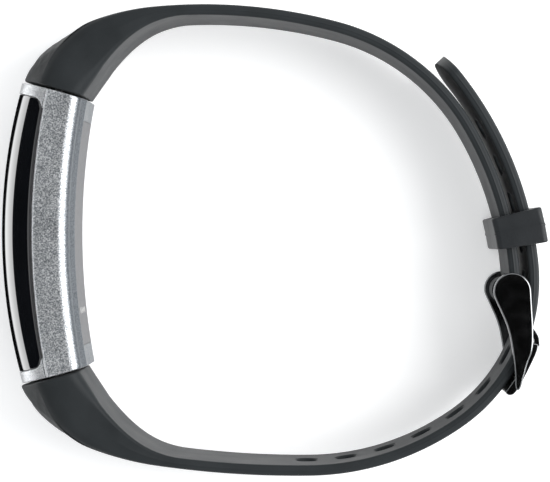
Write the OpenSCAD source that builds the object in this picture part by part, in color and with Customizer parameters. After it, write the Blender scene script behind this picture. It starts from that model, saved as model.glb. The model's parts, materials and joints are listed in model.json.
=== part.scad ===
// Fitness tracker band, buckled and lying on its side.
// The loop's axis is vertical (+Z), the buckle is at +X and the tracker capsule at -X.
// Millimetres. z = 0 is the plane on which one side of the band rests.

/* [Band] */
// Width of the capsule, of the strap roots and across the buckle
band_w = 19; // [18.8:0.1:20]
// Width of the straps where they pass through the buckle and keeper
strap_w = 15.6; // [15:0.1:15.8]
// Thickness of the straps
strap_t = 1.85; // [1.6:0.05:1.9]
// Thickness of the straps where they meet the capsule
root_t = 9.45; // [8.8:0.05:9.6]

/* [Strap holes] */
// Distance from one adjusting hole to the next
hole_pitch = 6; // [5.5:0.1:6.5]
// Size of a hole along the strap
hole_l = 2.8; // [2.8:0.1:3.2]
// Size of a hole across the strap
hole_w = 5; // [4:0.1:6]

/* [Capsule] */
// Thickness of the capsule from the crown of the glass to the rim of its back
capsule_t = 10.4; // [10.2:0.1:10.6]
// Height of the glass dome over the frame's edge
dome_h = 4.9; // [4.7:0.1:5]
// Thickness of the glass
glass_t = 1.2; // [1:0.1:1.3]
// Radius of the frame's rounded back edges
back_edge_r = 1.8; // [1:0.1:1.9]

/* [Buckle] */
// Thickness of the buckle's side plates
plate_t = 1.3; // [1.2:0.05:1.4]
// Radius of the spring bar's tube
tube_r = 0.75; // [0.7:0.01:0.8]

/* [Hidden] */

$fn = 96;
mid_z = band_w / 2;
// The middle of the band's outline, measured in the loop's own plane.
loop_shift = [4, 1];

// ---- Capsule: arcs that share the line y = 0 in the loop's plane ----
back_x = -32.6;
crown_x = back_x - capsule_t;
edge_x = crown_x + dome_h;
crown_arc_r = 81;
edge_arc_r = 96;
back_arc_r = 101;
crown_c = crown_x + crown_arc_r;
edge_c = edge_x + edge_arc_r;
back_c = back_x + back_arc_r;
dome_half_w = band_w / 2 - 0.2;
dome_r = (dome_half_w * dome_half_w + dome_h * dome_h) / (2 * dome_h);
gasket_t = 0.2;
cavity_half_w = 7.8;
cavity_half_l = 17;
rear_skin = 1.4;
window_half_w = 6.1;
window_half_l = 16;
// The middle of the back stands out from the frame's rim towards the wrist.
back_rise = 0.6;
rise_half_w = 6.3;
rise_foot_half_w = 7.7;
cover_t = 1.2;
seal_t = 0.5;
seal_w = 1.2;
end_lip = 1.8;
glass_corner_r = 1.7;
glass_corner_steps = 12;
// Distance along the joint plane from its inner end to the centre of the glass's corner.
glass_corner_run = 6.85;
fit_gap = 0.05;
// Larger than anything that has to be cut right through.
reach = 40;
// How far cuts run on behind the middle of the back, to pass its curved ends.
back_cut = 4;

// ---- Inside the capsule: planes across x, then half lengths along y and half widths ----
display_front = -39.8;
display_back = -39.1;
display_half = [10, 4.3];
carrier_back = -38;
carrier_half = [12, 5.2];
carrier_open = [10, 3.6];
board_back = -37.3;
board_half = [15, 5.5];
flex_t = 0.15;
flex_half_w = 2;
flex_end = -13.6;
battery_front = -37.1;
battery_back = -35.1;
battery_half = [9, 5.4];
shield_y = -12.4;
shield_back = -36;
shield_half = [2.4, 4.2];
shield_wall = 0.2;
chip_back = -36.5;
chip_half = [1.6, 1.3];
chip_z = [-2, 1.4];
motion_chip_place = [10.2, -2.5];
motion_chip_half = [0.8, 1];
pocket_gap = 0.1;
chassis_front = -38.4;
motor_place = [-35.4, 13];
motor_r = 1.6;
motor_base_z = -0.9;
motor_l = 5.2;
motor_bore_r = 0.4;
motor_bore_l = 4;
weight_base_z = -4.5;
weight_r = 1.45;
weight_l = 3.2;
weight_cut = 0.2;
shaft_r = 0.35;
shaft_l = 7.4;
motor_pocket_z = -4.8;
motor_pocket_l = 9.2;
antenna_place = [-37, 15.6, -4.9];
antenna_size = [2, 0.25, 9.8];
contact_front = -34.4;
contact_y = -11.1;
contact_r = 0.45;
contact_z = [-3, -1, 1, 3];

// ---- Joints between the capsule and the straps ----
joint_pos = [-30.7, 19.2];
joint_angle = 15.35;
joint_gap = 0.15;
// Steel plate in each strap root, and the pair of screws that hold it to the frame.
insert_place = [-4.4, -1.9, -5];
insert_size = [0.9, 7.9, 10];
screw_z = 3.2;
screw_depth = 1.1;
screw_r = 0.5;
screw_head_r = 0.75;
screw_start = -5.4;
head_start = -3;
head_end = -2.4;

// ---- Straps: the crown line as [radius, turn in degrees], positive to the left ----
upper_start = [-39.79, 21.76];
upper_heading = 71.2;
upper_arcs = [[-10.4, 38.9], [-33.7, 26.5], [-73.9, 20.7], [-31.8, 44.8], [-49.2, 28.5]];
lower_start = [-40.35, -21.76];
lower_heading = -67.4;
lower_arcs = [[13.9, 40.1], [43.4, 19], [140, 8.9], [38.8, 34.8], [25.45, 60.5], [52, 36.4]];
ring_step = 1.5;
root_run = 3;
taper_run = 24.5;
crown_drop = 4.2;
crown_run = 14;
edge_drop = 0.35;
inner_chamfer = 0.4;
width_run = 76;
nose_run = 3.4;
nose_angles = [20, 35, 50, 65, 78];
tip_t = 1.75;
// How far the strap's body is drawn past the joint plane before it is cut there.
root_extra = 3;
// Distance after which a strap starts to narrow.
narrow_from = 2;
// Shares of the half width at which the outer face has a ridge.
outer_shares = [-1, -0.85, -0.5, 0, 0.5, 0.85, 1];
holes_before = 7;
holes_after = 5;

function len_of(arcs) = sum([for (a = arcs) abs(a[0]) * a[1] * PI / 180]);
function sum(v, i = 0) = i < len(v) ? v[i] + sum(v, i + 1) : 0;
// Pose [x, y, heading] at distance s along a chain of arcs.
function arc_pose(p, h, arc, s) =
    let (r = arc[0], t = h + s / r * 180 / PI)
    [p[0] + r * (sin(t) - sin(h)), p[1] + r * (cos(h) - cos(t)), t];
function tail_of(v) = [for (i = [1 : len(v) - 1]) v[i]];
function pose(p, h, arcs, s) =
    let (run = abs(arcs[0][0]) * arcs[0][1] * PI / 180)
    s < 0 ? [p[0] + s * cos(h), p[1] + s * sin(h), h]
    : (s <= run || len(arcs) == 1) ? arc_pose(p, h, arcs[0], s)
    : let (e = arc_pose(p, h, arcs[0], run)) pose([e[0], e[1]], e[2], tail_of(arcs), s - run);
// 1 before the start of a run, 0 after its end, with a smooth change between.
function ease(s, start, run) = (1 + cos(180 * min(1, max(0, (s - start) / run)))) / 2;

// The centres of the two arcs that the buckle, tail and keeper share.
upper_len = len_of(upper_arcs);
lower_len = len_of(lower_arcs);
bend_end = pose(lower_start, lower_heading, lower_arcs, lower_len - len_of([lower_arcs[5]]));
function centre_of(e, r) = [e[0] - r * sin(e[2]), e[1] + r * cos(e[2])];
bend_c = centre_of(bend_end, lower_arcs[4][0]);
slide_c = centre_of(bend_end, lower_arcs[5][0]);
bend_r = lower_arcs[4][0];
tail_r = lower_arcs[5][0];
layer_pitch = 2.8;
under_r = tail_r - layer_pitch;

// ---- Buckle ----
pivot = [29.8, -8.25];
barrel_r = 1.9;
eye_r = 1.45;
eye_w = 2.8;
run_fit = 0.05;
stem_r = 0.38;
flange_r = 0.47;
flange_l = 0.8;
tube_bore_r = 0.5;
tube_lip = 0.3;
tube_gap = 0.4;
blind_depth = 0.8;
bar_gap = 0.15;
blade_r = 0.4;
tongue_hole_angle = -14.1;
tongue_slot_r = 2.4;
tongue_slot_gap = 0.3;
// The blade's bends, as [radius, angle] about the centre of the strap's bend.
blade_bends = [[22.6, -11.2], [24.5, -15], [26.57, -17.66], [27.09, -20.2]];
tip_notch_r = 0.75;
tip_notch_half = 1.8;
head_r = 2.65;
head_shift = 0.1;
bar_side_gap = 0.4;
spring_turns = 14;
spring_steps = 10;
spring_wire_r = 0.09;
spring_coil_r = 0.34;
spring_end_gap = 0.15;
flange_gap = 0.02;

// ---- Keeper ----
keeper_angle = 11.55;
keeper_half_span = 2.75;
keeper_wall = 1.05;
keeper_gap = 0.25;
keeper_side_gap = 0.3;
keeper_inset = 0.1;

module in_place() translate([loop_shift[0], loop_shift[1], mid_z]) children();
function on_bend(r, a) = [bend_c[0] + r * cos(a), bend_c[1] + r * sin(a)];

// ---------------------------------------------------------------- straps
function strap_thick(s, total) =
    strap_t + (root_t - strap_t) * ease(s, root_run, taper_run)
    - (total > 0 ? (strap_t - tip_t) * (1 - ease(s, total - nose_run, nose_run)) : 0);
function strap_wide(s) =
    strap_w + (band_w - strap_w) * (1 - min(1, max(0, (s - narrow_from) / width_run)));
function drop_at(s) = edge_drop + (crown_drop - edge_drop) * ease(s, 0, crown_run);

// One cross-section: [offset from the crown line, z], outside first, then the inner face.
function section(t, w, d) =
    let (h = w / 2)
    concat([for (f = outer_shares) [d * f * f, h * f]],
           [[t - inner_chamfer, h], [t, h - inner_chamfer],
            [t, inner_chamfer - h], [t - inner_chamfer, -h]]);
function ring(e, side, t, w, d) =
    [for (q = section(t, w, d))
        [e[0] - side * q[0] * sin(e[2]), e[1] + side * q[0] * cos(e[2]), q[1]]];

module loft(rings, flip) {
    n = len(rings[0]);
    m = len(rings);
    points = [for (r = rings) each r];
    sides = [for (i = [0 : m - 2]) for (j = [0 : n - 1])
        let (a = i * n + j, b = i * n + (j + 1) % n) each [[a, b, a + n], [b, b + n, a + n]]];
    caps = [[for (j = [n - 1 : -1 : 0]) j], [for (j = [0 : n - 1]) (m - 1) * n + j]];
    faces = concat(sides, caps);
    polyhedron(points, flip ? faces : [for (f = faces) [for (k = [len(f) - 1 : -1 : 0]) f[k]]]);
}

module at_joint(side) scale([1, side, 1]) translate(joint_pos) rotate(-joint_angle) children();
// Everything on one side of a joint plane: way is 1 for the strap's side, -1 for the capsule's.
module joint_side(side, way) at_joint(side)
    translate([-reach, way > 0 ? -joint_gap : joint_gap - reach, -reach / 2])
        cube([2 * reach, reach, reach]);

module upper_strap() {
    count = ceil((upper_len + root_extra) / ring_step);
    step = (upper_len + root_extra) / count;
    color([0.11, 0.12, 0.13]) in_place() difference() {
        union() {
            loft([for (i = [0 : count]) let (s = i * step - root_extra)
                ring(pose(upper_start, upper_heading, upper_arcs, s), -1,
                     strap_thick(s, 0), strap_wide(s), drop_at(s))], false);
            translate([pivot[0], pivot[1], -strap_w / 2]) cylinder(r = barrel_r, h = strap_w);
        }
        joint_side(1, -1);
        translate([pivot[0], pivot[1], -band_w]) cylinder(r = tube_r, h = 2 * band_w);
        translate([pivot[0], pivot[1], -eye_w / 2 - tongue_slot_gap])
            cylinder(r = tongue_slot_r, h = eye_w + 2 * tongue_slot_gap);
        insert_plate(1);
    }
}

module strap_hole() {
    depth = 2 * strap_t;
    rotate([0, 90, 0]) {
        for (k = [-1, 1])
            translate([k * (hole_w - hole_l) / 2, 0, -depth]) cylinder(r = hole_l / 2, h = 2 * depth);
        translate([-(hole_w - hole_l) / 2, -hole_l / 2, -depth])
            cube([hole_w - hole_l, hole_l, 2 * depth]);
    }
}

module lower_strap() {
    body = lower_len - nose_run;
    count = ceil((body + root_extra) / ring_step);
    step = (body + root_extra) / count;
    hole_s = lower_len - len_of([lower_arcs[5]])
             - (bend_end[2] - 90 - tongue_hole_angle) * bend_r * PI / 180;
    runs = concat([for (i = [0 : count]) [i * step - root_extra, 1]],
                  [for (a = nose_angles) [body + nose_run * sin(a), cos(a)]]);
    color([0.11, 0.12, 0.13]) in_place() difference() {
        loft([for (q = runs)
            ring(pose(lower_start, lower_heading, lower_arcs, q[0]), 1,
                 strap_thick(q[0], lower_len), strap_wide(q[0]) * q[1], drop_at(q[0]))], true);
        joint_side(-1, -1);
        for (k = [-holes_after : holes_before]) {
            e = pose(lower_start, lower_heading, lower_arcs, hole_s - k * hole_pitch);
            translate([e[0], e[1], 0]) rotate(e[2] - 90) strap_hole();
        }
        insert_plate(-1);
    }
}

module insert_plate(side) at_joint(side) translate(insert_place) cube(insert_size);
module strap_screw_pair(side, r, x0, x1) {
    for (z = [-screw_z, screw_z])
        at_joint(side) translate([x0, -screw_depth, z]) rotate([0, 90, 0]) cylinder(r = r, h = x1 - x0);
}
module strap_insert(side) color("silver") in_place() difference() {
    insert_plate(side);
    strap_screw_pair(side, screw_r, insert_place[0] - 1, head_start);
}
module upper_strap_insert() strap_insert(1);
module lower_strap_insert() strap_insert(-1);
module strap_screws() color("dimgray") in_place() for (side = [-1, 1]) {
    strap_screw_pair(side, screw_r, screw_start, head_start);
    strap_screw_pair(side, screw_head_r, head_start, head_end);
}

// ---------------------------------------------------------------- capsule
// The capsule's long arcs run 20 degrees to either side of the line y = 0.
module along_arc(centre_x) translate([centre_x, 0, 0])
    rotate_extrude(angle = 40, start = 160) children();
module from_arc(centre_x, r0, r1, half_w) along_arc(centre_x)
    translate([r0, -half_w]) square([r1 - r0, 2 * half_w]);
module dome_solid(inset) along_arc(crown_c) intersection() {
    translate([crown_arc_r - dome_r, 0]) circle(r = dome_r - inset, $fn = 180);
    translate([crown_arc_r - back_edge_r - dome_h, -dome_half_w])
        square([back_edge_r + dome_h, 2 * dome_half_w]);
}
module outside_arc(centre_x, r) difference() {
    translate([centre_x - r - reach / 2, -reach, -reach / 2]) cube([reach, 2 * reach, reach]);
    translate([centre_x, 0, -reach]) cylinder(r = r, h = 2 * reach, $fn = 180);
}
// Prism on the glass's outline: straight sides, and ends beside the joints with round corners.
module glass_prism(gap) {
    end = end_lip + glass_corner_r;
    centre = [joint_pos[0] - glass_corner_run * cos(joint_angle) - end * sin(joint_angle),
              joint_pos[1] + glass_corner_run * sin(joint_angle) - end * cos(joint_angle)];
    r = glass_corner_r + gap;
    turn = 90 - joint_angle;
    corner = [for (i = [0 : glass_corner_steps]) let (a = turn * (1 - i / glass_corner_steps))
        centre + r * [cos(a), sin(a)]];
    far_end = corner[0] + reach / 2 * [-cos(joint_angle), sin(joint_angle)];
    half = concat([far_end], corner, [centre + [glass_corner_r + 2 * gasket_t, 0]]);
    other = [for (k = [len(half) - 1 : -1 : 0]) [half[k][0], -half[k][1]]];
    translate([0, 0, -reach / 2]) linear_extrude(reach) polygon(concat(half, other));
}
module box_at(x0, x1, half) translate([x0, -half[0], -half[1]]) cube([x1 - x0, 2 * half[0], 2 * half[1]]);

module frame_block() {
    // Sides and back, with rounded back edges.
    difference() {
        along_arc(back_c) {
            translate([back_arc_r + back_edge_r, -mid_z]) square([root_t, band_w]);
            translate([back_arc_r, back_edge_r - mid_z])
                square([back_edge_r, band_w - 2 * back_edge_r]);
            for (k = [-1, 1])
                translate([back_arc_r + back_edge_r, k * (mid_z - back_edge_r)])
                    circle(r = back_edge_r);
            polygon([[back_arc_r - back_rise, -rise_half_w], [back_arc_r - back_rise, rise_half_w],
                     [back_arc_r + fit_gap, rise_foot_half_w], [back_arc_r + fit_gap, -rise_foot_half_w]]);
        }
        outside_arc(edge_c, edge_arc_r - gasket_t);
    }
    // Domed ends that hold the glass between them.
    difference() {
        intersection() {
            dome_solid(0);
            outside_arc(edge_c, edge_arc_r - 3 * gasket_t);
        }
        glass_prism(fit_gap);
    }
}
module case_frame() color([0.62, 0.64, 0.66]) in_place() difference() {
    frame_block();
    for (side = [-1, 1]) joint_side(side, 1);
    difference() {
        box_at(crown_x, back_x + back_cut, [cavity_half_l, cavity_half_w]);
        from_arc(back_c, back_arc_r - back_cut, back_arc_r + rear_skin, band_w);
    }
    box_at(crown_x, back_x + back_cut, [window_half_l, window_half_w]);
    for (side = [-1, 1]) {
        insert_plate(side);
        strap_screw_pair(side, screw_r, screw_start, 0);
        strap_screw_pair(side, screw_head_r, head_start, -head_start);
    }
}
// Rim under the glass, between the frame's front arc and the glass.
module glass_gasket() color("black") in_place() difference() {
    intersection() {
        from_arc(edge_c, edge_arc_r - gasket_t, edge_arc_r, dome_half_w);
        glass_prism(0);
    }
    box_at(crown_x, back_x, [cavity_half_l, cavity_half_w]);
}
module front_glass() color([0.05, 0.06, 0.07]) in_place() difference() {
    intersection() {
        dome_solid(0);
        outside_arc(edge_c, edge_arc_r);
        glass_prism(0);
    }
    intersection() {
        dome_solid(glass_t);
        box_at(crown_x + glass_t, back_x, [cavity_half_l, cavity_half_w]);
        translate([crown_c, 0, -reach / 2])
            cylinder(r = crown_arc_r - glass_t, h = reach, $fn = 180);
    }
}
module display_panel() color("midnightblue") in_place()
    box_at(display_front, display_back, display_half);
module display_carrier() color("dimgray") in_place() difference() {
    box_at(display_back, carrier_back, carrier_half);
    box_at(display_back + shield_wall, board_back, carrier_open);
}
// Ribbon from the end of the display round to the front of the main board.
module display_flex() color("orange") in_place() {
    start = -display_half[0];
    bend = display_front + flex_t;
    translate([0, 0, -flex_half_w]) linear_extrude(2 * flex_half_w)
        polygon([[bend, start], [bend, flex_end], [carrier_back, flex_end],
                 [carrier_back, flex_end + flex_t], [bend + flex_t, flex_end + flex_t],
                 [bend + flex_t, start]]);
}
module main_board() color("darkgreen") in_place() box_at(carrier_back, board_back, board_half);
module board_shield() color("lightgray") in_place() translate([0, shield_y, 0]) difference() {
    box_at(board_back, shield_back, shield_half);
    box_at(board_back - 1, shield_back - shield_wall, shield_half - [shield_wall, shield_wall]);
}
module motion_chip(gap) translate([0, motion_chip_place[0], motion_chip_place[1]])
    box_at(board_back, chip_back + gap, motion_chip_half + [gap, gap]);
module board_chips() color([0.1, 0.1, 0.1]) in_place() {
    for (z = chip_z) translate([0, shield_y, z]) box_at(board_back, chip_back, chip_half);
    motion_chip(0);
}
module battery() color("lightsteelblue") in_place()
    box_at(battery_front, battery_back, battery_half);
module at_motor(z) translate([motor_place[0], motor_place[1], z]) children();
// Plastic frame that fills the cavity and holds the board, battery, motor and antenna.
module inner_chassis() color([0.2, 0.2, 0.22]) in_place() difference() {
    intersection() {
        box_at(chassis_front, back_x + back_cut, [cavity_half_l, cavity_half_w]);
        outside_arc(back_c, back_arc_r + cover_t + seal_t + fit_gap);
        translate([edge_c, 0, -reach / 2])
            cylinder(r = edge_arc_r - 1.5 * gasket_t, h = reach);
    }
    box_at(display_back, board_back, board_half + [pocket_gap, pocket_gap]);
    box_at(carrier_back, battery_back, battery_half + [pocket_gap, pocket_gap]);
    translate([0, shield_y, 0])
        box_at(carrier_back, shield_back + shield_wall, shield_half + [pocket_gap, pocket_gap]);
    motion_chip(pocket_gap);
    at_motor(motor_pocket_z) cylinder(r = motor_r, h = motor_pocket_l);
    translate([motor_place[0] - reach, motor_place[1] - motor_r, motor_pocket_z])
        cube([reach, 2 * motor_r, motor_pocket_l]);
    contact_pins();
    translate(antenna_place - [2, fit_gap, pocket_gap])
        cube(antenna_size + [2 + pocket_gap, 2 * fit_gap, 2 * pocket_gap]);
}
module antenna() color("gold") in_place() translate(antenna_place) cube(antenna_size);
module motor_case() color("silver") in_place() at_motor(motor_base_z) difference() {
    cylinder(r = motor_r, h = motor_l);
    translate([0, 0, -1]) cylinder(r = motor_bore_r, h = motor_bore_l + 1);
}
// Motor shaft with its half-round weight.
module motor_rotor() color("darkgray") in_place() at_motor(weight_base_z) {
    cylinder(r = shaft_r, h = shaft_l);
    difference() {
        cylinder(r = weight_r, h = weight_l);
        translate([weight_cut, -weight_r, -1]) cube([weight_r, 2 * weight_r, weight_l + 2]);
    }
}
module contact_pins() for (z = contact_z)
    translate([contact_front, contact_y, z]) rotate([0, 90, 0])
        cylinder(r = contact_r, h = back_x + back_cut - contact_front);
module cover_outline() box_at(-2 * reach, 0, [window_half_l - fit_gap, window_half_w - fit_gap]);
module rear_cover() color([0.55, 0.56, 0.58]) in_place() difference() {
    intersection() {
        from_arc(back_c, back_arc_r - back_rise, back_arc_r + cover_t, mid_z);
        cover_outline();
    }
    contact_pins();
}
module rear_seal() color("black") in_place() difference() {
    intersection() {
        from_arc(back_c, back_arc_r + cover_t, back_arc_r + cover_t + seal_t, mid_z);
        cover_outline();
    }
    box_at(-2 * reach, 0, [window_half_l - seal_w, window_half_w - seal_w]);
}
module charging_contacts() color("silver") in_place() intersection() {
    contact_pins();
    outside_arc(back_c, back_arc_r - back_rise);
}

// ---------------------------------------------------------------- keeper
module slide_ring(r0, r1, half_span, half_w) {
    translate([slide_c[0], slide_c[1], 0])
        rotate_extrude(angle = 2 * half_span, start = keeper_angle - half_span, $fn = 360)
            translate([r0, -half_w]) square([r1 - r0, 2 * half_w]);
}
module keeper() color([0.12, 0.13, 0.14]) in_place() difference() {
    slide_ring(under_r - strap_t - keeper_gap - keeper_wall, tail_r + keeper_gap + keeper_wall,
               keeper_half_span, mid_z - keeper_inset);
    slide_ring(under_r - strap_t - keeper_gap, tail_r + keeper_gap,
               2 * keeper_half_span, strap_w / 2 + keeper_side_gap);
}

// ---------------------------------------------------------------- buckle
// Side plate: a round head on the pivot, narrowing to the foot below the cross bar.
module plate_outline() {
    translate(pivot) {
        translate([head_shift, 0]) circle(r = head_r);
        polygon([[-2.45, -0.7], [-1.8, -2.1], [-0.45, -5.1], [0.15, -8.3], [0.6, -11.6],
                 [0.6, -13.9], [1.1, -13.9], [1.6, -12], [2.3, -9.8], [3.05, -8.3],
                 [3.05, -5], [2.75, 0]]);
    }
}
// Cross bar: wide and flat, following the strap inside and nearly straight outside.
bar_top = [33.75, -15.9];
bar_foot = [30.4, -22.6];
module bar_outline() difference() {
    polygon([[30, -13.5], bar_top - [0.7, -0.45], bar_top, (bar_top + bar_foot) / 2 + [0.1, -0.05],
             bar_foot, bar_foot - [1.2, 0.3], [25, -18]]);
    translate(bend_c) circle(r = bend_r + bar_gap, $fn = 180);
}
module buckle_frame() color([0.06, 0.06, 0.07]) in_place() difference() {
    union() {
        for (k = [0, 1]) mirror([0, 0, k])
            translate([0, 0, mid_z - plate_t]) linear_extrude(plate_t) plate_outline();
        translate([0, 0, bar_side_gap - mid_z])
            linear_extrude(band_w - 2 * bar_side_gap) bar_outline();
    }
    for (k = [0, 1]) mirror([0, 0, k])
        translate([pivot[0], pivot[1], mid_z - plate_t - 1])
            cylinder(r = stem_r + run_fit, h = blind_depth + 1);
    translate([0, 0, -tip_notch_half]) linear_extrude(2 * tip_notch_half)
        translate(blade_path[len(blade_path) - 1]) circle(r = tip_notch_r);
}
blade_path = concat([pivot], [for (q = blade_bends) on_bend(q[0], q[1])]);
module buckle_tongue() {
    color([0.07, 0.07, 0.08]) in_place() difference() {
        translate([0, 0, -eye_w / 2]) {
            translate(pivot) cylinder(r = eye_r, h = eye_w);
            linear_extrude(eye_w) for (i = [1 : len(blade_path) - 1]) hull() {
                translate(blade_path[i - 1]) circle(r = blade_r, $fn = 24);
                translate(blade_path[i]) circle(r = blade_r, $fn = 24);
            }
        }
        translate([pivot[0], pivot[1], -5]) cylinder(r = tube_r + run_fit, h = 10);
    }
}
tube_end = mid_z - plate_t - tube_gap;
module bar_tube() color("lightgray") in_place() translate(pivot) difference() {
    translate([0, 0, -tube_end]) cylinder(r = tube_r, h = 2 * tube_end);
    translate([0, 0, tube_lip - tube_end]) cylinder(r = tube_bore_r, h = 2 * (tube_end - tube_lip));
    translate([0, 0, -band_w]) cylinder(r = stem_r + run_fit, h = 2 * band_w);
}
module bar_tip(k) translate(pivot) mirror([0, 0, k]) {
    flange_top = tube_end - tube_lip - flange_gap;
    translate([0, 0, flange_top - flange_l]) cylinder(r = flange_r, h = flange_l);
    translate([0, 0, flange_top - flange_l])
        cylinder(r = stem_r, h = mid_z - plate_t + blind_depth - fit_gap - flange_top + flange_l);
}
module bar_tip_top() color("gainsboro") in_place() bar_tip(0);
module bar_tip_base() color("gainsboro") in_place() bar_tip(1);
// Coil spring between the two flanges, as a round wire swept along a helix.
module bar_spring() {
    half_l = tube_end - tube_lip - flange_l - flange_gap - spring_end_gap;
    steps = spring_turns * spring_steps;
    color("silver") in_place() translate([pivot[0], pivot[1], 0])
        loft([for (i = [0 : steps])
            let (a = 360 * i / spring_steps, z = half_l * (2 * i / steps - 1))
            [for (j = [0 : 60 : 300]) let (r = spring_coil_r + spring_wire_r * cos(j))
                [r * cos(a), r * sin(a), z + spring_wire_r * sin(j)]]], true);
}

case_frame();
front_glass();
glass_gasket();
display_panel();
display_carrier();
display_flex();
main_board();
board_shield();
board_chips();
battery();
inner_chassis();
antenna();
motor_case();
motor_rotor();
rear_cover();
rear_seal();
charging_contacts();
strap_screws();
upper_strap_insert();
lower_strap_insert();
upper_strap();
lower_strap();
keeper();
buckle_frame();
buckle_tongue();
bar_tube();
bar_tip_top();
bar_tip_base();
bar_spring();
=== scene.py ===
import json
import math

import bmesh
import bpy
import numpy as np
from mathutils import Matrix, Vector


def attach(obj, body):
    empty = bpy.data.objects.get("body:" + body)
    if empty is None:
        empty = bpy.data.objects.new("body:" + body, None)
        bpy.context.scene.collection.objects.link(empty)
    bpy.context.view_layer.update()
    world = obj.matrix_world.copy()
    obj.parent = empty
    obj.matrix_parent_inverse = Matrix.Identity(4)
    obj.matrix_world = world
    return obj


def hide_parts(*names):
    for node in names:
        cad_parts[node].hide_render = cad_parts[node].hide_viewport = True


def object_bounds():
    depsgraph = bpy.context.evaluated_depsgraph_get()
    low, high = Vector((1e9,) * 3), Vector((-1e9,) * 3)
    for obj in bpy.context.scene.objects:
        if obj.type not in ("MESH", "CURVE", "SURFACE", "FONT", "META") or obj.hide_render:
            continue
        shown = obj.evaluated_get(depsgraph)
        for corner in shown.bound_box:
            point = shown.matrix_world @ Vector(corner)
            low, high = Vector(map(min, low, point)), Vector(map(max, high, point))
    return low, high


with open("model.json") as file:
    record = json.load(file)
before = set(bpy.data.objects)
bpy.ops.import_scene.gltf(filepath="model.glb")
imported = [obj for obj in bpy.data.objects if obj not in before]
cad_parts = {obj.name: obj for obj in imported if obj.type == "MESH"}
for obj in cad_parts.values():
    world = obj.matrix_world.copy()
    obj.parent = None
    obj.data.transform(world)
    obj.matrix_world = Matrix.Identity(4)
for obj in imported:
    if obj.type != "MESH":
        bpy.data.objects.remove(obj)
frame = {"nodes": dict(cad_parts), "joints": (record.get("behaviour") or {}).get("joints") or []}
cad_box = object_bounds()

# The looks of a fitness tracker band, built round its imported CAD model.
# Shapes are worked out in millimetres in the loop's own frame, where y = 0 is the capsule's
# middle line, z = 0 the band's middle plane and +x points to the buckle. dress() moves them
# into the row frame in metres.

MM = 0.001


def joint_place(name):
    """A joint's place in the row frame, in millimetres."""
    row = next(j for j in frame["joints"] if j["name"] == name)
    return np.array(row["pos_m"]) / MM


# ------------------------------------------------------------------ design values
PIVOT = np.array([29.8, -8.25, 0.0])
SHIFT = joint_place("buckle_pivot") - PIVOT
SLIDE_C = (joint_place("keeper_slide") - SHIFT)[:2]

BAND_W = (cad_box[1].z - cad_box[0].z) / MM
HALF_W = BAND_W / 2
STRAP_W = 15.6
STRAP_T = 1.85
ROOT_T = 9.45

JOINT_POS = np.array([-30.7, 19.2])
JOINT_TILT = math.radians(15.35)
JOINT_GAP = 0.15

CROWN_C, CROWN_R = 38.0, 81.0
EDGE_C, EDGE_R = 57.9, 96.0
BACK_C, BACK_R = 68.4, 101.0
DOME_R = 11.28
DOME_HALF_W = 9.3
END_LIP = 1.8
GLASS_CORNER_R = 1.7
GLASS_CORNER = np.array([-38.23, 17.64])
GLASS_HALF_L, GLASS_HALF_W = 18.0, 9.0
# First guess at the angle where the glass ends; front_glass() and end_lip() refine it.
GLASS_END_ANGLE = 0.24
GLASS_T = 1.0
BACK_EDGE_R = 1.8
CAVITY_HALF = (17.0, 7.8)
WINDOW_HALF = (16.0, 6.1)
BACK_RISE = 0.6
RISE_HALF_W, RISE_FOOT_HALF_W = 6.3, 7.7
REAR_SKIN = 1.4

UPPER = {
    "start": (-39.79, 21.76), "heading": 71.2, "side": -1,
    "arcs": [(-10.4, 38.9), (-33.7, 26.5), (-73.9, 20.7), (-31.8, 44.8), (-49.2, 28.5)],
}
LOWER = {
    "start": (-40.35, -21.76), "heading": -67.4, "side": 1,
    "arcs": [(13.9, 40.1), (43.4, 19.0), (140.0, 8.9), (38.8, 34.8), (25.45, 60.5), (52.0, 36.4)],
}
ROOT_RUN, TAPER_RUN = 3.0, 24.5
CROWN_DROP, EDGE_DROP, CROWN_RUN = 4.2, 0.35, 14.0
WIDTH_RUN = 76.0
NOSE_RUN = 3.4
TIP_T = 1.75

HOLE_PITCH = 6.0
HOLE_L, HOLE_W = 2.8, 5.0
TONGUE_HOLE_ANGLE = -14.1
HOLES_BEFORE, HOLES_AFTER = 7, 5

BARREL_R = 1.9
TUBE_R = 0.75
EYE_R = 1.45
EYE_W = 2.8
EYE_SLOT_R = 2.4
EYE_SLOT_GAP = 0.3
PLATE_T = 1.3
STEM_R = 0.38
RUN_FIT = 0.05
BAR_GAP = 0.15

KEEPER_ANGLE = 11.55
KEEPER_HALF_SPAN = 2.75
KEEPER_WALL = 1.05
KEEPER_GAP = 0.25
KEEPER_SIDE_GAP = 0.3


# ------------------------------------------------------------------ mesh tools
MERGE = 1e-4


def make_object(name, points, faces):
    """A mesh object from points in the loop's frame, in millimetres, with outward normals."""
    mesh = bpy.data.meshes.new(name)
    mesh.from_pydata([tuple(map(float, p)) for p in points], [], faces)
    obj = bpy.data.objects.new(name, mesh)
    bpy.context.scene.collection.objects.link(obj)
    clean(obj)
    return obj


def clean(obj):
    """Merges doubled points and turns the solid's faces outward."""
    bm = bmesh.new()
    bm.from_mesh(obj.data)
    bmesh.ops.remove_doubles(bm, verts=bm.verts, dist=MERGE)
    bmesh.ops.dissolve_degenerate(bm, edges=bm.edges, dist=MERGE)
    if bm.calc_volume(signed=True) < 0:
        bmesh.ops.reverse_faces(bm, faces=bm.faces)
    bm.to_mesh(obj.data)
    bm.free()


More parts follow.
